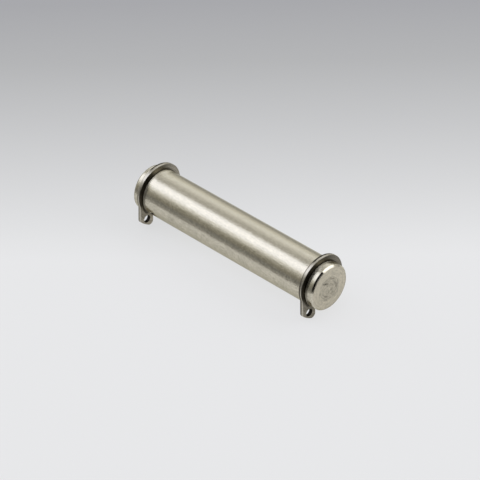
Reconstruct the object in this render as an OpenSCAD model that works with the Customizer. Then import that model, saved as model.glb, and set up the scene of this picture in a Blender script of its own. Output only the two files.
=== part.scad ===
// Clevis pin held by two external retaining rings.
// The pin lies along X with its mid-length at the origin, and the lugs of both rings point down, along -Z.

/* [Pin] */
// Diameter of the shank
pin_d = 12; // [10:0.5:20]
// Length of the shank between the two grooves
grip_len = 54.7; // [20:0.1:100]
// Length of the pin outside each groove
stub_len = 2.35; // [1:0.05:6]
// Chamfer at each end of the pin
end_chamfer = 0.3; // [0.1:0.05:0.6]

/* [Grooves] */
// Depth of each groove below the shank
groove_depth = 0.25; // [0.15:0.05:0.6]
// Play of a ring along its groove
groove_play = 0.1; // [0.05:0.05:0.3]
// Edge break at the rims of each groove
groove_break = 0.08; // [0.02:0.02:0.16]

/* [Rings] */
// Thickness of a ring
ring_t = 1; // [0.6:0.1:1.5]
// Radial width of a ring opposite its gap
ring_top_w = 1.75; // [1.3:0.05:2.6]
// Radial width of a ring a quarter turn from its gap
ring_side_w = 1.2; // [0.8:0.05:1.3]
// Angle from the middle of a ring's crown, where the band is widest, to each of its ends
crown_angle = 45; // [30:1:55]
// Clearance between a ring's bore and the groove floor
ring_fit = 0.02; // [0.01:0.01:0.06]
// Turn of the near ring about the pin
near_ring_turn = 0; // [-10:0.5:10]
// Turn of the far ring about the pin
far_ring_turn = -3; // [-10:0.5:10]

/* [Lugs] */
// Radial height of a lug above the ring's bore
lug_h = 3.3; // [3:0.1:4.2]
// Width of a lug across its straight flanks
lug_w = 4.2; // [3:0.1:4.6]
// Radius of a lug's rounded corners
lug_corner_r = 1.1; // [0.3:0.1:1.2]
// Radius of the blend between a lug's outer flank and the ring
neck_r = 2; // [0.5:0.25:4]
// Diameter of the plier hole in a lug
plier_hole_d = 2; // [1.2:0.1:2.2]
// Width of metal between a plier hole and its lug's outer edge
plier_hole_wall = 0.45; // [0.3:0.05:0.7]
// Angle of each plier hole from the middle of the gap
plier_hole_angle = 35.5; // [28:0.5:40]

/* [Hidden] */
$fn = 128;

// Overshoot of cutting tools past the faces that they cut
cut_over = 1;
// Angle at which a rounding circle crosses the edges beside it: one that only touched them would leave slivers
crossing = 6;

pin_r = pin_d / 2;
groove_r = pin_r - groove_depth;
groove_w = ring_t + groove_play;
// Distance from mid-length to the groove's inner wall, its outer wall and the pin's end
groove_in_x = grip_len / 2;
groove_out_x = groove_in_x + groove_w;
pin_end_x = groove_out_x + stub_len;

ring_bore_r = groove_r + ring_fit;
// Each ring sits in the middle of its groove, with half of the play on each side
ring_x = groove_in_x + groove_play / 2;
// The crown of the rim is an arc about the pin's axis. From its ends a circle whose centre is set off away from
// the gap takes the band in towards the lugs, through the rim's points a quarter turn from the gap
rim_top = ring_bore_r + ring_top_w;
rim_side = ring_bore_r + ring_side_w;
taper_offset = (rim_top * rim_top - rim_side * rim_side) / (2 * rim_top * cos(crown_angle));
taper_centre = [0, taper_offset];
taper_r = norm([rim_side, taper_offset]);

lug_r = ring_bore_r + lug_h;
plier_hole_r = plier_hole_d / 2;
plier_hole_reach = lug_r - plier_hole_wall - plier_hole_r;
plier_hole_pos = plier_hole_reach * [sin(plier_hole_angle), -cos(plier_hole_angle)];
// The flanks are parallel to the middle of the gap, one half-width each side of the plier hole
lug_in = plier_hole_pos.x - lug_w / 2;
lug_out = plier_hole_pos.x + lug_w / 2;

// Point below a centre at sideways distance y and radial distance r
function below(y, r) = [y, -sqrt(max(0, r * r - y * y))];

// Centres of a lug's rounded corners, beside the gap and on the outer flank
corner_inset = lug_corner_r * cos(crossing);
lug_in_corner = below(lug_in + corner_inset, lug_r - corner_inset);
lug_out_corner = below(lug_out - corner_inset, lug_r - corner_inset);
// Where the outer flank meets the rim, and the centre of the blend that rounds that hollow corner
flank_top = taper_centre + below(lug_out, taper_r);
neck_inset = neck_r * cos(crossing);
neck_centre = taper_centre + below(lug_out + neck_inset, taper_r + neck_inset);
neck_on_rim = taper_centre + (neck_centre - taper_centre) * taper_r / (taper_r + neck_inset);
neck_on_flank = [lug_out, neck_centre.y];

// Outline of the plain bar from its axis outwards: x is the radius and y the distance along the pin
module bar_outline() {
    polygon([
        [0, -pin_end_x],
        [pin_r - end_chamfer, -pin_end_x],
        [pin_r, end_chamfer - pin_end_x],
        [pin_r, pin_end_x - end_chamfer],
        [pin_r - end_chamfer, pin_end_x],
        [0, pin_end_x]
    ]);
}

// Groove with a broken edge at each rim, cut into the bar's outline on the +y side
module groove_outline() {
    polygon([
        [pin_r + cut_over, groove_in_x - groove_break],
        [pin_r, groove_in_x - groove_break],
        [pin_r - groove_break, groove_in_x],
        [groove_r, groove_in_x],
        [groove_r, groove_out_x],
        [pin_r - groove_break, groove_out_x],
        [pin_r, groove_out_x + groove_break],
        [pin_r + cut_over, groove_out_x + groove_break]
    ]);
}

// Turned bar with a ring groove near each end
module pin() {
    color([0.72, 0.70, 0.65])
        rotate([0, 90, 0])
            rotate_extrude()
                difference() {
                    bar_outline();
                    for (side = [0, 1])
                        mirror([0, side])
                            groove_outline();
                }
}

// Outer outline of a ring's band
module rim_outline() {
    intersection() {
        circle(r = rim_top);
        translate(taper_centre)
            circle(r = taper_r);
    }
}

// Lug on the +Y side with sharp corners, up to the middle of the gap
module lug_outline() {
    intersection() {
        circle(r = lug_r);
        polygon([[0, 0], [0, -2 * lug_r], [lug_out, -2 * lug_r], flank_top]);
    }
}

// What rounding takes off a lug's corner, from its centre out past the flank and the outer edge
module corner_waste(centre, flank_way) {
    edge_way = centre / norm(centre);
    translate(centre)
        difference() {
            polygon(2 * lug_corner_r * [[0, 0], flank_way, flank_way + edge_way, edge_way]);
            circle(r = lug_corner_r);
        }
}

// Fill of the hollow corner between the outer flank and the rim
module neck_outline() {
    difference() {
        polygon([[0, flank_top.y], neck_on_flank, neck_centre, neck_on_rim]);
        translate(neck_centre)
            circle(r = neck_r);
    }
}

// Flat outline of a ring, with its gap pointing down
module ring_outline() {
    difference() {
        union() {
            rim_outline();
            for (side = [0, 1])
                mirror([side, 0]) {
                    lug_outline();
                    neck_outline();
                }
        }
        circle(r = ring_bore_r);
        translate([-lug_in, -lug_r - cut_over])
            square([2 * lug_in, lug_r + cut_over]);
        for (side = [0, 1])
            mirror([side, 0]) {
                corner_waste(lug_in_corner, [-1, 0]);
                corner_waste(lug_out_corner, [1, 0]);
                translate(plier_hole_pos)
                    circle(r = plier_hole_r);
            }
    }
}

// Stamped spring-steel ring from its inner face at x, turned about the pin
module ring(x, turn) {
    color([0.50, 0.48, 0.44])
        translate([x, 0, 0])
            rotate([turn, 0, 0])
                rotate([90, 0, 90])
                    linear_extrude(height = ring_t)
                        ring_outline();
}

module near_ring() {
    ring(ring_x, near_ring_turn);
}

module far_ring() {
    ring(-ring_x - ring_t, far_ring_turn);
}

pin();
near_ring();
far_ring();
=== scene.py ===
import math
from collections import namedtuple

import bmesh
import bpy
from mathutils import Matrix, Vector
from mathutils.geometry import tessellate_polygon


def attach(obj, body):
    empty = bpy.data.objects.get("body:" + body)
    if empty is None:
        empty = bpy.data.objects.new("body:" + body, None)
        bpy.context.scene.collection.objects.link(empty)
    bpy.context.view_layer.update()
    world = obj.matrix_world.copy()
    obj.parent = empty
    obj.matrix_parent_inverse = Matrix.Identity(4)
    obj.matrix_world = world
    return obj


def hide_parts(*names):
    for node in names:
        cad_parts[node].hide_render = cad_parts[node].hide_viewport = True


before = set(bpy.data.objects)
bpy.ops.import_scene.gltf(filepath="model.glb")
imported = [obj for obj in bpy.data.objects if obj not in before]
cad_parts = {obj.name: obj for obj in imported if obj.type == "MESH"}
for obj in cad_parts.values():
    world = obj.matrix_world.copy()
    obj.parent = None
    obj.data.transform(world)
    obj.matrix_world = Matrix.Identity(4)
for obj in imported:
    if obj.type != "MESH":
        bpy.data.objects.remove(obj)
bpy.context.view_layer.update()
scene = bpy.context.scene

MM = 0.001


# Sizes in millimetres, as in the part's source

PIN_END = 30.8
END_CHAMFER = 0.3
RING_FACES = {"near_ring": (27.4, 28.4), "far_ring": (-28.4, -27.4)}
RING_BORE_R = 5.77
# Distance of a plier hole from the pin's axis, its radius, and its angle from the middle of the ring's gap
HOLE_REACH = 7.62
HOLE_R = 1.0
HOLE_ANGLE = 35.5

# Sizes in millimetres that only the visual model has

# Rounding of a ring's edges: the punch rolls them over on the outer face and leaves the other side crisp
ROLL = 0.13
CRISP = 0.035
# Rounding of the corners of a ring's outline beside the gap
CORNER_R = 0.12
# The steel at the pin's ends looks rolled over this far from the end face, and outside this radius
ROLLED_END = 0.46
ROLLED_R = 5.5
# The floor lies just under the lugs
FLOOR_Z = -8.48


# Colours of the steel

SHANK_STEEL = (0.625, 0.582, 0.465, 1.0)
END_STEEL = (0.585, 0.537, 0.425, 1.0)
GRAZING_TINT = (0.80, 0.78, 0.68, 1.0)
RING_DARK = (0.16, 0.145, 0.112, 1.0)
RING_PALE = (0.26, 0.237, 0.193, 1.0)
BURNISHED = (0.54, 0.505, 0.42, 1.0)
# Black of the painted shade on the rings' faces
SHADE_BLACK = (0.034, 0.031, 0.025, 1.0)
# Black of the painted shade in the rings' holes
HOLE_SHADE_BLACK = (0.02, 0.018, 0.015, 1.0)

# How the rings differ. The turn is about the pin in degrees. The colour is of the torn half of the cut edge,
# made paler on the far ring by painted light. The gains are painted light that brightens the flat faces and
# the front of the lugs. The painted shade laps onto the edge above lap_z, and the painted black of shade on
# the -Y side ends at the last field, both in millimetres over the pin's axis
RingLook = namedtuple("RingLook", "turn torn_colour face_gain lug_gain lap_z black_z")
RING_LOOKS = {
    "near_ring": RingLook(0.0, (0.14, 0.125, 0.10, 1.0), 1.0, 1.35, 4.4, -3.4),
    "far_ring": RingLook(-3.0, (0.36, 0.335, 0.27, 1.0), 1.6, 2.3, 2.8, -3.1),
}

# Knocks on an end face: the middle, the tilt in degrees, half the length and half the width in millimetres,
# and how much the knock darkens the steel
END_KNOCKS = [
    ((-1.35, 1.75), -20, 1.2, 0.28, 0.46),
    ((2.25, -0.25), 100, 1.0, 0.42, 0.26),
    ((0.75, -1.0), 110, 1.0, 0.35, 0.16),
    ((-1.1, -2.0), 150, 0.9, 0.3, 0.2),
    ((0.8, 2.2), -55, 1.1, 0.28, 0.18),
]


# Helpers for node trees

# Nearly all values of a noise texture lie between these
NOISE_LOW = 0.3
NOISE_HIGH = 0.7


class Tree:
    """A node tree, with short calls that add a node, set its plain inputs and link the others."""

    def __init__(self, tree):
        self.tree = tree
        tree.nodes.clear()

    def add(self, kind, inputs=(), **settings):
        node = self.tree.nodes.new(kind)
        for name, value in settings.items():
            setattr(node, name, value)
        for name, value in dict(inputs).items():
            self.feed(node.inputs[name], value)
        return node

    def feed(self, socket, value):
        if isinstance(value, bpy.types.NodeSocket):
            self.tree.links.new(value, socket)
        else:
            socket.default_value = value

    def math(self, operation, a, b=0.0):
        node = self.add("ShaderNodeMath", operation=operation)
        self.feed(node.inputs[0], a)
        self.feed(node.inputs[1], b)
        return node.outputs[0]

    def times(self, first, *others):
        for value in others:
            first = self.math("MULTIPLY", first, value)
        return first

    def plus(self, first, *others):
        for value in others:
            first = self.math("ADD", first, value)
        return first

    def minus(self, a, b):
        return self.math("SUBTRACT", a, b)

    def rest_of(self, share):
        """What a share between 0 and 1 leaves."""
        return self.minus(1.0, share)

    def scaled(self, vector, factors):
        node = self.add("ShaderNodeVectorMath", operation="MULTIPLY")
        self.feed(node.inputs[0], vector)
        self.feed(node.inputs[1], factors)
        return node.outputs[0]

    def in_mm(self, vector):
        return self.scaled(vector, (1 / MM, 1 / MM, 1 / MM))

    def dot(self, vector, way):
        node = self.add("ShaderNodeVectorMath", operation="DOT_PRODUCT")
        self.feed(node.inputs[0], vector)
        self.feed(node.inputs[1], way)
        return node.outputs["Value"]

    def combined(self, x, y, z):
        return self.add("ShaderNodeCombineXYZ", {"X": x, "Y": y, "Z": z}).outputs[0]

    def span(self, value, low, high, to_low=0.0, to_high=1.0, smooth=False):
        """The value carried from one range to another, and held at the new range's ends outside it."""
        kind = "SMOOTHSTEP" if smooth else "LINEAR"
        inputs = {"Value": value, "From Min": low, "From Max": high, "To Min": to_low, "To Max": to_high}
        return self.add("ShaderNodeMapRange", inputs, interpolation_type=kind).outputs[0]

    def vary(self, noise, middle, reach):
        """The noise stretched to run from its reach below the middle to its reach above it."""
        return self.span(noise, NOISE_LOW, NOISE_HIGH, middle - reach, middle + reach)

    def noise(self, vector, scale, detail=2.0, roughness=0.5, distortion=0.0):
        inputs = {"Vector": vector, "Scale": scale, "Detail": detail, "Roughness": roughness}
        inputs["Distortion"] = distortion
        return self.add("ShaderNodeTexNoise", inputs).outputs[0]

    def noise_along(self, value, scale, detail):
        inputs = {"W": value, "Scale": scale, "Detail": detail}
        return self.add("ShaderNodeTexNoise", inputs, noise_dimensions="1D").outputs[0]

    def mix(self, factor, a, b):
        """Colour a where the factor is 0 and colour b where it is 1."""
        node = self.add("ShaderNodeMix", data_type="RGBA")
        self.feed(node.inputs[0], factor)
        self.feed(node.inputs[6], a)
        self.feed(node.inputs[7], b)
        return node.outputs[2]

    def blend(self, factor, a, b):
        """Value a where the factor is 0 and value b where it is 1."""
        node = self.add("ShaderNodeMix", data_type="FLOAT")
        self.feed(node.inputs[0], factor)
        self.feed(node.inputs[2], a)
        self.feed(node.inputs[3], b)
        return node.outputs[0]

    def shade(self, colour, factor):
        """The colour times a grey factor."""
        node = self.add("ShaderNodeMix", data_type="RGBA", blend_type="MULTIPLY")
        node.inputs[0].default_value = 1.0
        self.feed(node.inputs[6], colour)
        grey = self.add("ShaderNodeCombineColor")
        for channel in grey.inputs:
            self.feed(channel, factor)
        self.feed(node.inputs[7], grey.outputs[0])
        return node.outputs[2]

    def ramp(self, value, stops):
        node = self.add("ShaderNodeValToRGB", {"Fac": value})
        marks = node.color_ramp.elements
        while len(marks) < len(stops):
            marks.new(0.5)
        for mark, (place, level) in zip(marks, stops):
            mark.position = place
            mark.color = (level, level, level, 1.0) if isinstance(level, float) else (*level, 1.0)
        return node.outputs[0]


def new_material(name):
    material = bpy.data.materials.new(name)
    material.use_nodes = True
    return material, Tree(material.node_tree)


def finish_metal(t, colour, roughness, height, distance_mm):
    bump = t.add("ShaderNodeBump", {"Strength": 1.0, "Distance": distance_mm * MM, "Height": height})
    inputs = {"Base Color": colour, "Metallic": 1.0, "Roughness": roughness, "Normal": bump.outputs[0]}
    inputs["Specular Tint"] = GRAZING_TINT
    shader = t.add("ShaderNodeBsdfPrincipled", inputs)
    t.add("ShaderNodeOutputMaterial", {"Surface": shader.outputs[0]})


# A place on a piece in millimetres, with its distance from the pin's axis and the direction round the axis
Place = namedtuple("Place", "point x y z radius cosine sine")


def polar(t, y, z):
    """Distance from the pin's axis in millimetres, and the direction round it as a cosine and a sine."""
    radius = t.math("SQRT", t.plus(t.times(y, y), t.times(z, z)))
    safe = t.math("MAXIMUM", radius, 0.01)
    return radius, t.math("DIVIDE", y, safe), t.math("DIVIDE", z, safe)


def place_on_piece(t):
    point = t.in_mm(t.add("ShaderNodeTexCoord").outputs["Object"])
    x, y, z = t.add("ShaderNodeSeparateXYZ", {"Vector": point}).outputs
    return Place(point, x, y, z, *polar(t, y, z))


def arcs(t, radius, cosine, sine, across, along):
    """Noise drawn out into arcs about the pin's axis."""
    vector = t.combined(t.times(radius, across), t.times(cosine, along), t.times(sine, along))
    return t.noise(vector, 1.0, 3.0, 0.6)


# Material of the pin

# How fast each noise of the steel changes per millimetre along X, Y and Z. Grinding marks run round the
# shank, draw marks run along it, and blotches and a fine grain lie over both
MARK_RATE = (3.8, 0.8, 0.8)
DRAW_RATE = (0.5, 2.7, 2.7)
BLOTCH_RATE = (0.35, 0.6, 0.6)
GRAIN_RATE = 2.4
# Their bump heights on the shank, and the depth in millimetres of a bump height of 1
MARK_HEIGHT = 0.15
DRAW_HEIGHT = 0.4
GRAIN_HEIGHT = 0.45
PIN_BUMP = 0.04
# Roughness that a ring's scuff adds to the shank beside it, and what is left of it where the steel shines
SCUFF = 0.42
NEAR_SCUFF_SHINING = 0.1
FAR_SCUFF_SHINING = 0.28
# Bump heights of the burrs beside the rings, and drops of the rolled-over rim on the shank and the end face
NEAR_BURR = 6.0
FAR_BURR = 10.0
SHANK_DROP = -4.0
END_DROP = -5.0
# Roughness of the rolled-over rim, and how much of the bump the chamfer loses
ROLLED_ROUGHNESS = 0.08
CHAMFER_CALM = 0.7


def blot(t, y, z, centre, tilt, half_length, half_width):
    """Soft elliptical mark on an end face: 1 at its middle and 0 outside."""
    dy = t.minus(y, centre[0])
    dz = t.minus(z, centre[1])
    c, s = math.cos(math.radians(tilt)), math.sin(math.radians(tilt))
    along = t.plus(t.times(dy, c / half_length), t.times(dz, s / half_length))
    across = t.plus(t.times(dy, -s / half_width), t.times(dz, c / half_width))
    reach = t.plus(t.times(along, along), t.times(across, across))
    return t.span(reach, 1.3, 0.3, smooth=True)


def end_face_tone(t, y, z, rings):
    """Turned end face: a paler outer ring, a stained middle with swirls, a centre spot and a few knocks."""
    radius, cosine, sine = polar(t, y, z)
    swirls = arcs(t, radius, cosine, sine, 2.4, 1.7)
    mottle = t.noise(t.combined(y, z, 0.0), 1.7, 3.0, 0.6)
    ragged = t.plus(radius, t.vary(swirls, 0.0, 0.9))
    stain = t.span(ragged, 3.9, 2.5, smooth=True)
    swirl_depth = t.plus(0.09, t.times(stain, 0.14))
    centre_spot = t.span(radius, 0.9, 0.4, 0.0, 0.11, smooth=True)
    tone = t.plus(t.vary(rings, 1.0, 0.1), t.times(stain, -0.17))
    tone = t.plus(tone, t.times(t.vary(swirls, 0.0, 1.0), swirl_depth))
    tone = t.plus(tone, t.plus(centre_spot, t.vary(mottle, 0.0, 0.13)))
    for centre, tilt, half_length, half_width, darkening in END_KNOCKS:
        mark = blot(t, y, z, centre, tilt, half_length, half_width)
        tone = t.minus(tone, t.times(mark, darkening))
    return tone


def shank_tone(t, place, marks, draws, grain):
    """Uneven grey of the ground shank, stronger on the side where it was handled."""
    blotch = t.noise(t.scaled(place.point, BLOTCH_RATE), 1.0, 3.0, 0.5)
    uneven = t.plus(t.vary(grain, 0.0, 0.07), t.vary(blotch, 0.0, 0.04))
    uneven = t.plus(uneven, t.vary(marks, 0.0, 0.05), t.vary(draws, 0.0, 0.05))
    handled = t.times(t.span(place.z, 4.9, 1.0), t.span(place.y, 1.0, -2.0))
    return t.plus(1.0, t.times(uneven, t.span(handled, 0.0, 1.0, 0.8, 1.85)))


def beside_ring(t, x, ring):
    """1 against the +X face of a ring, where the ring has scuffed the steel, fading to 0 in a millimetre."""
    low, high = RING_FACES[ring]
    fade = t.span(x, high + 0.1, high + 1.2, 1.0, 0.0, smooth=True)
    return t.times(fade, t.span(x, low, low + 0.1))


def shank_roughness(t, place, upper, marks, grain):
    """Roughness of the shank, with a scuffed band beside each ring, smoother where the steel shines."""
    ground = t.span(t.plus(grain, marks), 0.7, 1.3, 0.16, 0.25)
    shining = t.times(t.span(place.z, 5.8, 5.2), t.span(place.z, 0.5, 2.0))
    near_scuff = t.times(beside_ring(t, place.x, "near_ring"), t.blend(shining, SCUFF, NEAR_SCUFF_SHINING))
    far_scuff = t.times(beside_ring(t, place.x, "far_ring"), t.blend(upper, SCUFF, FAR_SCUFF_SHINING))
    return t.plus(ground, t.plus(near_scuff, far_scuff))


def burr_beside_ring(t, x, ring, where, rise):
    """Height of the low burr that a ring's +X face has pushed up in the steel beside it."""
    face = RING_FACES[ring][1]
    swell = t.span(x, face + 2.0, face - 0.1, 0.0, rise, smooth=True)
    return t.times(swell, where, t.span(x, face - 0.3, face - 0.25))


def shank_height(t, place, from_end, upper, marks, draws, grain):
    """Bump of the shank: its marks, the rolled-over ends, and a burr beside each ring."""
    crown = t.span(place.z, 5.62, 5.95)
    height = t.plus(t.times(marks, MARK_HEIGHT), t.times(grain, GRAIN_HEIGHT), t.times(draws, DRAW_HEIGHT))
    height = t.plus(height, t.span(from_end, ROLLED_END, END_CHAMFER, 0.0, SHANK_DROP))
    height = t.plus(height, burr_beside_ring(t, place.x, "far_ring", upper, FAR_BURR))
    return t.plus(height, burr_beside_ring(t, place.x, "near_ring", crown, NEAR_BURR))


def end_face_height(t, place, rings, grain):
    """Bump of an end face: its turning marks, and the rolled-over rim."""
    height = t.plus(t.times(rings, 0.6), t.times(grain, 0.2))
    return t.plus(height, t.span(place.radius, ROLLED_R, ROLLED_R + 0.2, 0.0, END_DROP))


def ground_steel():
    """Warm grey steel, ground on its shank and turned on its end faces."""
    material, t = new_material("ground_steel")
    place = place_on_piece(t)
    from_end = t.minus(PIN_END, t.math("ABSOLUTE", place.x))
    on_end = t.span(from_end, 0.02, 0.01)
    on_chamfer = t.times(t.span(from_end, END_CHAMFER + 0.01, END_CHAMFER), t.rest_of(on_end))
    on_roll = t.span(from_end, ROLLED_END, ROLLED_END - 0.01)
    on_roll = t.times(on_roll, t.span(place.radius, ROLLED_R, ROLLED_R + 0.02))
    upper = t.span(place.z, 3.2, 4.6)

    marks = t.noise(t.scaled(place.point, MARK_RATE), 1.0, 2.0, 0.6)
    draws = t.noise(t.scaled(place.point, DRAW_RATE), 1.0, 2.0, 0.6, 0.6)
    grain = t.noise(place.point, GRAIN_RATE, 2.0, 0.6)
    rings = t.noise_along(place.radius, 5.0, 3.0)

    # The far end face has the marks of the near one, mirrored
    near_end = t.span(place.x, -1.0, 1.0)
    end_y = t.blend(near_end, place.z, place.y)
    end_z = t.blend(near_end, place.y, place.z)
    end_tone = end_face_tone(t, end_y, end_z, rings)
    tone = t.blend(on_end, shank_tone(t, place, marks, draws, grain), end_tone)
    colour = t.shade(t.mix(on_end, SHANK_STEEL, END_STEEL), tone)

    end_roughness = t.span(t.plus(rings, grain), 0.7, 1.3, 0.3, 0.42)
    roughness = t.blend(on_end, shank_roughness(t, place, upper, marks, grain), end_roughness)
    roughness = t.blend(on_roll, roughness, ROLLED_ROUGHNESS)

    height = shank_height(t, place, from_end, upper, marks, draws, grain)
    height = t.blend(on_end, height, end_face_height(t, place, rings, grain))
    height = t.times(height, t.rest_of(t.times(on_chamfer, CHAMFER_CALM)))
    finish_metal(t, colour, roughness, height, PIN_BUMP)
    return material


# Material of the rings

# Depth in millimetres of a bump height of 1
RING_BUMP = 0.008
# The burnished half of a cut edge starts this far behind the edge's middle. Its border wanders, and is soft
BURNISH_SHIFT = 0.06
BURNISH_WANDER = 0.07
BURNISH_SOFT = 0.06
# The painted shade along the front of the cut edge: its width, its soft border, and how far it and the
# burnished border lap further back
EDGE_SHADE_WIDTH = 0.2
EDGE_SHADE_SOFT = 0.12
EDGE_SHADE_LAP = 0.2
# Gains of the painted shade over the upper part of a face, of the painted light on the lugs' -X faces, and of
# the painted shade on the torn edge at the crest
TOP_SHADE_GAIN = 0.5
LUG_BACK_LIGHT_GAIN = 1.35
CREST_SHADE_GAIN = 0.25
# Share of black in the painted shade on a face, and in the painted contact shadow in the corner beside the
# pin
SHADE_BLACK_COVER = 0.95
CORNER_SHADE_COVER = 0.9


def facing_x(t):
    """1 on a ring's +X face, 0 on its cut edge and -1 on its -X face."""
    return t.dot(t.add("ShaderNodeTexCoord").outputs["Normal"], (1.0, 0.0, 0.0))


def painted_shade_share(t, place, shaded_side, black_z):
    """Painted shade on a ring's faces: black above the lug on the -Y side, and a painted contact shadow in
    the corner beside the pin.
    """
    # Painted shade: the -Y side is black above the lug
    above_lug = t.times(t.span(place.z, black_z, black_z + 2.0), t.span(place.radius, 7.5, 7.2))
    right_top = t.times(t.span(place.z, 4.5, 5.5), t.span(place.cosine, 0.0, 0.2))
    corner_width = t.times(t.span(shaded_side, 0.0, 1.0, 0.0, 0.35), t.span(place.z, 3.0, -3.0))
    corner_width = t.plus(corner_width, t.times(right_top, 0.22))
    # Painted contact shadow in the corner where the face meets the pin
    corner = t.span(t.minus(place.radius, corner_width), 6.4, 6.05, 0.0, CORNER_SHADE_COVER, smooth=True)
    corner = t.times(corner, t.span(place.z, -4.7, -4.0))
    return t.math("MAXIMUM", t.times(shaded_side, above_lug), corner)


def cut_edge_shares(t, place, faces, painted_shade, crest, lap_z):
    """Burnished and torn shares of the cut edge: the punch burnished its front half and tore the rest."""
    x_low, x_high = faces
    border = (x_low + x_high) / 2 - BURNISH_SHIFT
    wander = t.vary(t.noise(place.point, 0.8, 3.0), 0.0, BURNISH_WANDER)
    lap = t.times(t.span(place.z, lap_z, lap_z + 1.0, 0.0, EDGE_SHADE_LAP), t.rest_of(crest))
    lapped = t.plus(place.x, lap)
    front = t.span(t.plus(lapped, wander), border - BURNISH_SOFT, border + BURNISH_SOFT)
    # Painted shade: the faces' black goes on over the front of the cut edge
    edge_shade_border = x_high - EDGE_SHADE_WIDTH
    edge_shade = t.times(painted_shade, t.span(lapped, edge_shade_border - EDGE_SHADE_SOFT, edge_shade_border))
    on_edge = t.span(t.math("ABSOLUTE", facing_x(t)), 0.75, 0.45)
    return t.times(on_edge, front, t.rest_of(edge_shade)), t.times(on_edge, t.rest_of(front))


def torn_edge_colour(t, place, shaded_side, crest, torn_colour):
    """The torn steel, with a painted highlight on the upper part of the -Y side, and painted shade at the
    crest.
    """
    lit = t.times(shaded_side, t.span(place.z, 2.0, 6.0), t.rest_of(crest))
    return t.shade(torn_colour, t.plus(t.blend(crest, 1.0, CREST_SHADE_GAIN), lit))


def ring_face_colour(t, place, painted_shade, look):
    """Streaked spring steel, with painted shade over the upper part and painted light that makes the lugs
    paler, under the painted black of shade.
    """
    streaks = arcs(t, place.radius, place.cosine, place.sine, 3.0, 1.5)
    steel = t.mix(t.span(streaks, 0.35, 0.65), RING_DARK, RING_PALE)
    # Painted shade darkens the upper part of the face, away from the +Y side
    shaded_top = t.times(t.span(place.cosine, 0.75, 0.3), t.span(place.z, 0.0, 3.0))
    on_lug = t.times(t.span(place.z, -4.8, -5.6), t.span(place.radius, 6.4, 6.8))
    # Painted light brightens the lugs, with a gain for each side
    lug_gain = t.span(facing_x(t), -0.1, 0.1, LUG_BACK_LIGHT_GAIN, look.lug_gain)
    # Painted light: the far ring's faces are paler by their own gain
    band_light_gain = t.blend(shaded_top, look.face_gain, TOP_SHADE_GAIN * look.face_gain)
    steel = t.shade(steel, t.blend(on_lug, band_light_gain, lug_gain))
    # Painted shade: black laid over the steel by the shade's share
    return t.mix(t.times(painted_shade, SHADE_BLACK_COVER), steel, t.shade(SHADE_BLACK, look.face_gain))


def hole_shade(t, place, turn):
    """1 on the walls of a ring's plier holes and on its bore, which are painted black as shade."""
    walls = t.span(place.radius, RING_BORE_R + 0.05, RING_BORE_R + 0.03)
    for side in (-1, 1):
        angle = math.radians(turn + side * HOLE_ANGLE)
        dy = t.minus(place.y, HOLE_REACH * math.sin(angle))
        dz = t.minus(place.z, -HOLE_REACH * math.cos(angle))
        off = t.math("SQRT", t.plus(t.times(dy, dy), t.times(dz, dz)))
        walls = t.math("MAXIMUM", walls, t.span(off, HOLE_R + 0.06, HOLE_R + 0.03))
    return walls


def ring_steel(ring):
    """Dark spring steel, painted black with shade on its -Y side, beside the pin and in its holes, and a cut
    edge half bright and half torn.
    """
    material, t = new_material(ring + "_steel")
    look = RING_LOOKS[ring]
    place = place_on_piece(t)
    # The -Y side, where the faces are painted black with shade
    shaded_side = t.span(t.times(place.cosine, -1.0), 0.12, 0.42, smooth=True)
    crest = t.span(place.z, 7.0, 7.3)
    painted_shade = painted_shade_share(t, place, shaded_side, look.black_z)
    burnished, torn = cut_edge_shares(t, place, RING_FACES[ring], painted_shade, crest, look.lap_z)
    grain = t.noise(place.point, 4.0, 5.0, 0.65)

    colour = t.mix(burnished, ring_face_colour(t, place, painted_shade, look), BURNISHED)
    colour = t.mix(torn, colour, torn_edge_colour(t, place, shaded_side, crest, look.torn_colour))
    # Painted shade blackens the holes' walls and the bore
    colour = t.mix(hole_shade(t, place, look.turn), colour, HOLE_SHADE_BLACK)
    colour = t.shade(colour, t.vary(grain, 0.98, 0.12))
    roughness = t.plus(t.vary(grain, 0.3, 0.06), t.times(torn, 0.25))
    finish_metal(t, colour, roughness, grain, RING_BUMP)
    return material


# Ring pieces with rounded edges

# An outline's corners that turn by more than this many degrees are sharp
SHARP_TURN = 25
# Steps of the arcs at sharp corners, and round the front and the back of an edge
CORNER_STEPS = 6
ROLL_STEPS = 5
CRISP_STEPS = 3


def outline_loops(node, x):
    """Closed loops of (y, z) points in metres round the flat face of a ring that lies at x."""
    bm = bmesh.new()
    bm.from_mesh(node.data)
    bmesh.ops.remove_doubles(bm, verts=bm.verts, dist=1e-7)
    follows = {}
    for edge in bm.edges:
        flat = all(abs(v.co.x - x) < 1e-6 for v in edge.verts)
        if flat and any(abs(f.normal.x) < 0.5 for f in edge.link_faces):
            a, b = edge.verts
            follows.setdefault(a.index, []).append(b.index)
            follows.setdefault(b.index, []).append(a.index)
    bm.verts.ensure_lookup_table()
    loops = []
    while follows:
        start = next(iter(follows))
        loop = [start]
        here = follows.pop(start)[0]
        while here != start:
            loop.append(here)
            here = next(n for n in follows.pop(here) if n in follows or n == start and len(loop) > 2)
        loops.append([Vector((bm.verts[i].co.y, bm.verts[i].co.z)) for i in loop])
    bm.free()
    return loops


def area(loop):
    return 0.5 * sum(a.x * b.y - b.x * a.y for a, b in zip(loop, loop[1:] + loop[:1]))


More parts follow.
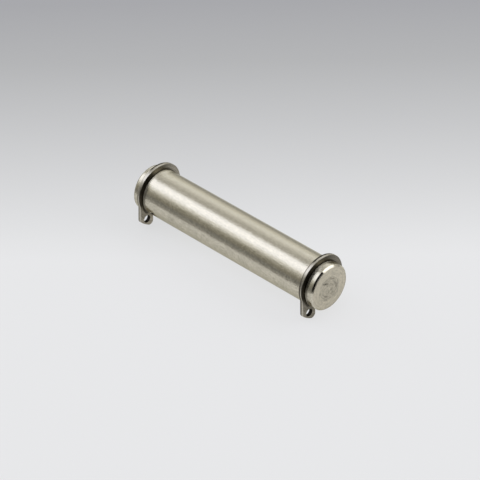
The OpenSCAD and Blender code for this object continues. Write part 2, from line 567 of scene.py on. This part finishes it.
def softened(loop, radius):
    """The loop with its sharp corners turned into short arcs."""
    out = []
    for i, corner in enumerate(loop):
        before, after = loop[i - 1], loop[(i + 1) % len(loop)]
        a, b = (before - corner).normalized(), (after - corner).normalized()
        turn = math.pi - a.angle(b)
        if turn < math.radians(SHARP_TURN):
            out.append(corner)
            continue
        reach = radius * math.tan(turn / 2)
        reach = min(reach, 0.45 * (before - corner).length, 0.45 * (after - corner).length)
        for k in range(CORNER_STEPS + 1):
            s = k / CORNER_STEPS
            out.append(corner + a * reach * (1 - s) ** 2 + b * reach * s ** 2)
    return out


def inset(loop, depth):
    """The loop moved into the metal, which lies on its left."""
    out = []
    for i, point in enumerate(loop):
        a = (point - loop[i - 1]).normalized()
        b = (loop[(i + 1) % len(loop)] - point).normalized()
        left = Vector((-a.y - b.y, a.x + b.x)).normalized()
        out.append(point + left * depth / max(0.5, left.dot(Vector((-a.y, a.x)))))
    return out


def edge_profile(x_low, x_high):
    """Steps from the front face round the edge to the back face: how far in, and where along X."""
    steps = []
    for k in range(ROLL_STEPS + 1):
        angle = math.radians(90 - 90 / ROLL_STEPS * k)
        steps.append((ROLL * (1 - math.cos(angle)), x_high - ROLL * (1 - math.sin(angle))))
    for k in range(CRISP_STEPS + 1):
        angle = math.radians(90 / CRISP_STEPS * k)
        steps.append((CRISP * (1 - math.cos(angle)), x_low + CRISP * (1 - math.sin(angle))))
    return steps


def ring_loops(node, x):
    """Softened loops of a ring's face, the outer one first, each with the metal on its left."""
    loops = outline_loops(node, x)
    loops.sort(key=lambda loop: -abs(area(loop)))
    for i, loop in enumerate(loops):
        if (area(loop) > 0) != (i == 0):
            loop.reverse()
        loops[i] = softened(loop, CORNER_R * MM)
    return loops


def edge_layers(loops, x_low, x_high):
    """Points of the loops at each step of the edge profile, and each step's loops of point numbers."""
    verts, layers = [], []
    for depth, x in edge_profile(x_low, x_high):
        layer = []
        for loop in loops:
            layer.append(range(len(verts), len(verts) + len(loop)))
            verts += [(x * MM, p.x, p.y) for p in inset(loop, depth * MM)]
        layers.append(layer)
    return verts, layers


def edge_faces(layers):
    faces = []
    for upper, lower in zip(layers, layers[1:]):
        for top, low in zip(upper, lower):
            for i in range(len(top)):
                j = (i + 1) % len(top)
                faces.append((top[j], top[i], low[i], low[j]))
    return faces


def flat_faces(verts, layer, towards_front):
    """Triangles that fill the flat face inside a layer's outer loop and outside its holes."""
    faces = []
    flat = [[Vector((verts[i][1], verts[i][2], 0.0)) for i in loop] for loop in layer]
    index = [i for loop in layer for i in loop]
    for triangle in tessellate_polygon(flat):
        a, b, c = (index[i] for i in triangle)
        ab = Vector(verts[b]) - Vector(verts[a])
        ac = Vector(verts[c]) - Vector(verts[a])
        faces.append((a, b, c) if (ab.cross(ac).x > 0) == towards_front else (a, c, b))
    return faces


def rounded_ring(ring, material):
    """The ring's own outline with its edges rounded, in place of the node."""
    x_low, x_high = RING_FACES[ring]
    verts, layers = edge_layers(ring_loops(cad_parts[ring], x_high * MM), x_low, x_high)
    faces = edge_faces(layers)
    faces += flat_faces(verts, layers[0], True)
    faces += flat_faces(verts, layers[-1], False)
    mesh = bpy.data.meshes.new(ring + "_rounded")
    mesh.from_pydata(verts, [], faces)
    mesh.validate()
    mesh.polygons.foreach_set("use_smooth", [True] * len(mesh.polygons))
    mesh.materials.append(material)
    piece = bpy.data.objects.new(ring + "_rounded", mesh)
    scene.collection.objects.link(piece)
    weights = piece.modifiers.new("flat_faces", "WEIGHTED_NORMAL")
    weights.keep_sharp = False
    weights.weight = 100
    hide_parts(ring)
    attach(piece, "root")


def dress_pin():
    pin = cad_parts["pin"]
    pin.data.materials.clear()
    pin.data.materials.append(ground_steel())


def dress_rings():
    for ring in RING_FACES:
        rounded_ring(ring, ring_steel(ring))


# Studio

# Level direction away from the camera, in which the floor and the backdrop darken
AWAY = (-0.7071, 0.7071, 0.0)
PALE_FLOOR = (0.807, 0.809, 0.813)
DIM_FLOOR = (0.395, 0.397, 0.412)
# Share of the floor's colour that glows, to the camera and in reflections. The rest takes light and shadow
GLOW_SEEN = 0.85
GLOW_MIRRORED = 0.45
# The backdrop goes from pale to dim as this much of a view direction turns away from the camera's side
BACKDROP_TURN = 0.043
# The floor's colour from the pin's middle to this many millimetres away from the camera
FLOOR_SPAN = 128.0
FLOOR_STOPS = [
    (0.0, PALE_FLOOR),
    (0.02, PALE_FLOOR),
    (0.08, (0.783, 0.786, 0.789)),
    (0.28, (0.678, 0.681, 0.685)),
    (0.50, (0.569, 0.572, 0.577)),
    (0.73, (0.465, 0.468, 0.473)),
    (0.98, DIM_FLOOR),
]

# Greys of the cards beside the pin and before its near end, from a card's foot to its top
SIDE_FLAG_STOPS = [(0.0, 0.48), (0.15, 0.40), (0.3, 0.32), (0.6, 0.265), (0.85, 0.22), (1.0, 0.21)]
LENS_FLAG_STOPS = [(0.0, 0.03), (1.0, 0.02)]

# Tints of the light: the soft boxes are a little colder than the dim parts of the studio
NEUTRAL = (1.0, 1.0, 1.0)
COOL = (0.99, 1.01, 1.06)
COLD = (0.98, 1.01, 1.16)
WARM = (1.03, 1.0, 0.90)
# The light round the pin's axis: the angle in degrees from level behind the pin over its top, level and tint
DOME_LIGHT = [
    (-40, 0.40, NEUTRAL),
    (-3, 0.42, NEUTRAL),
    (13, 0.59, NEUTRAL),
    (29, 0.90, NEUTRAL),
    (45, 1.02, COOL),
    (61, 0.78, NEUTRAL),
    (77, 0.53, NEUTRAL),
    (93, 0.57, NEUTRAL),
    (100, 1.45, COLD),
    (117, 1.62, COLD),
    (133, 1.42, COLD),
    (141, 1.05, COOL),
    (149, 0.72, NEUTRAL),
    (161, 0.34, WARM),
    (175, 0.25, WARM),
]
# First and last angle of the ramp that holds it, and the turn of the whole dome
DOME_LOW = -40.0
DOME_HIGH = 200.0
DOME_TURN = 1.5
# A dark corner beside the camera and a bright box beyond the pin's near end: the direction, the cosines at
# the outer and inner border, and the light
DARK_CORNER = (0.78, -0.38, 0.28)
DARK_BORDER = (0.76, 0.80)
DARK_LEVEL = 0.02
BRIGHT_BOX = (0.58, 0.55, 0.60)
BRIGHT_BORDER = (0.88, 0.94)
BRIGHT_LIGHT = (2.2, 2.25, 2.4, 1.0)

# The photo's camera: its place in millimetres, its directions, and its lens on a 36 mm frame
CAMERA_PLACE = (383.03, -372.53, 384.59)
CAMERA_FORWARD = (-0.58057, 0.56579, -0.58551)
CAMERA_RIGHT = (0.70732, 0.70665, -0.01850)
CAMERA_LENS = 202.52


def studio_floor():
    """Pale floor that darkens slowly away from the camera."""
    bpy.ops.mesh.primitive_plane_add(size=6.0, location=(0.0, 0.0, FLOOR_Z * MM))
    floor = bpy.context.object
    floor.name = "floor"
    material, t = new_material("floor")
    coords = t.add("ShaderNodeNewGeometry").outputs["Position"]
    away = t.dot(t.in_mm(coords), AWAY)
    colour = t.ramp(t.span(away, 0.0, FLOOR_SPAN), FLOOR_STOPS)
    diffuse = t.add("ShaderNodeBsdfDiffuse", {"Color": colour})
    glow = t.add("ShaderNodeEmission", {"Color": colour, "Strength": 1.0})
    seen = t.add("ShaderNodeLightPath").outputs["Is Camera Ray"]
    mirrored = t.add("ShaderNodeLightPath").outputs["Is Glossy Ray"]
    share = t.plus(t.times(seen, GLOW_SEEN), t.times(mirrored, GLOW_MIRRORED))
    mixed = t.add("ShaderNodeMixShader", {0: share, 1: diffuse.outputs[0], 2: glow.outputs[0]})
    t.add("ShaderNodeOutputMaterial", {"Surface": mixed.outputs[0]})
    floor.data.materials.append(material)


def studio_flag(name, centre, size, facing, stops):
    """Upright card on the floor that only reflections see, with its own greys from its foot upwards."""
    width, height = size
    bpy.ops.mesh.primitive_plane_add(size=1.0)
    flag = bpy.context.object
    flag.name = name
    flag.scale = (width * MM, height * MM, 1.0)
    flag.rotation_euler = (math.radians(90), 0.0, math.radians(facing))
    flag.location = (centre[0] * MM, centre[1] * MM, (FLOOR_Z + height / 2 + 0.02) * MM)
    material, t = new_material(name)
    coords = t.add("ShaderNodeNewGeometry").outputs["Position"]
    z = t.add("ShaderNodeSeparateXYZ", {"Vector": coords}).outputs[2]
    up = t.span(z, FLOOR_Z * MM, (FLOOR_Z + height) * MM)
    glow = t.add("ShaderNodeEmission", {"Color": t.ramp(up, stops), "Strength": 1.0})
    t.add("ShaderNodeOutputMaterial", {"Surface": glow.outputs[0]})
    flag.data.materials.append(material)
    flag.visible_camera = False
    flag.visible_diffuse = False
    flag.visible_shadow = False
    flag.visible_transmission = False


def studio_flags():
    studio_flag("side_flag", centre=(0.0, -26.0), size=(400.0, 11.5), facing=0.0, stops=SIDE_FLAG_STOPS)
    studio_flag("lens_flag", centre=(52.0, -27.0), size=(26.0, 14.0), facing=45.0, stops=LENS_FLAG_STOPS)


def dome_light(t, way):
    """Long soft boxes on both sides of the shank, a dark corner beside the camera, and a bright box."""
    axes = t.add("ShaderNodeSeparateXYZ", {"Vector": way}).outputs
    turn = t.math("ARCTAN2", axes[2], axes[1])
    degrees = t.plus(t.times(turn, 180 / math.pi), DOME_TURN)
    stops = []
    for angle, level, tint in DOME_LIGHT:
        place = (angle - DOME_LOW) / (DOME_HIGH - DOME_LOW)
        stops.append((place, tuple(level * part for part in tint)))
    around = t.ramp(t.span(degrees, DOME_LOW, DOME_HIGH), stops)
    dark = t.dot(way, Vector(DARK_CORNER).normalized())
    bright = t.dot(way, Vector(BRIGHT_BOX).normalized())
    open_part = t.span(dark, *DARK_BORDER, 1.0, DARK_LEVEL, smooth=True)
    box = t.span(bright, *BRIGHT_BORDER, smooth=True)
    return t.mix(box, t.shade(around, open_part), BRIGHT_LIGHT)


def studio_dome():
    """World: the studio's light by direction, and the backdrop that the camera sees beyond the floor."""
    world = bpy.data.worlds.new("studio")
    scene.world = world
    world.use_nodes = True
    t = Tree(world.node_tree)
    way = t.add("ShaderNodeTexCoord").outputs["Generated"]
    light = t.add("ShaderNodeBackground", {"Color": dome_light(t, way), "Strength": 1.0})
    beyond = t.span(t.dot(way, AWAY), 0.0, BACKDROP_TURN)
    beyond = t.mix(beyond, (*PALE_FLOOR, 1.0), (*DIM_FLOOR, 1.0))
    pale = t.add("ShaderNodeBackground", {"Color": beyond, "Strength": 1.0})
    seen = t.add("ShaderNodeLightPath").outputs["Is Camera Ray"]
    mixed = t.add("ShaderNodeMixShader", {0: seen, 1: light.outputs[0], 2: pale.outputs[0]})
    t.add("ShaderNodeOutputWorld", {"Surface": mixed.outputs[0]})


def photo_camera():
    """Camera at the photo's viewing angle."""
    data = bpy.data.cameras.new("camera")
    data.sensor_width = 36.0
    data.lens = CAMERA_LENS
    data.clip_start = 0.01
    data.clip_end = 20.0
    camera = bpy.data.objects.new("camera", data)
    scene.collection.objects.link(camera)
    back = -Vector(CAMERA_FORWARD).normalized()
    up = back.cross(Vector(CAMERA_RIGHT)).normalized()
    right = up.cross(back)
    turn = Matrix((right, up, back)).transposed()
    camera.matrix_world = Matrix.LocRotScale(Vector(CAMERA_PLACE) * MM, turn, None)
    scene.camera = camera


scene.view_settings.view_transform = "Standard"
dress_pin()
dress_rings()
studio_floor()
studio_flags()
studio_dome()
photo_camera()
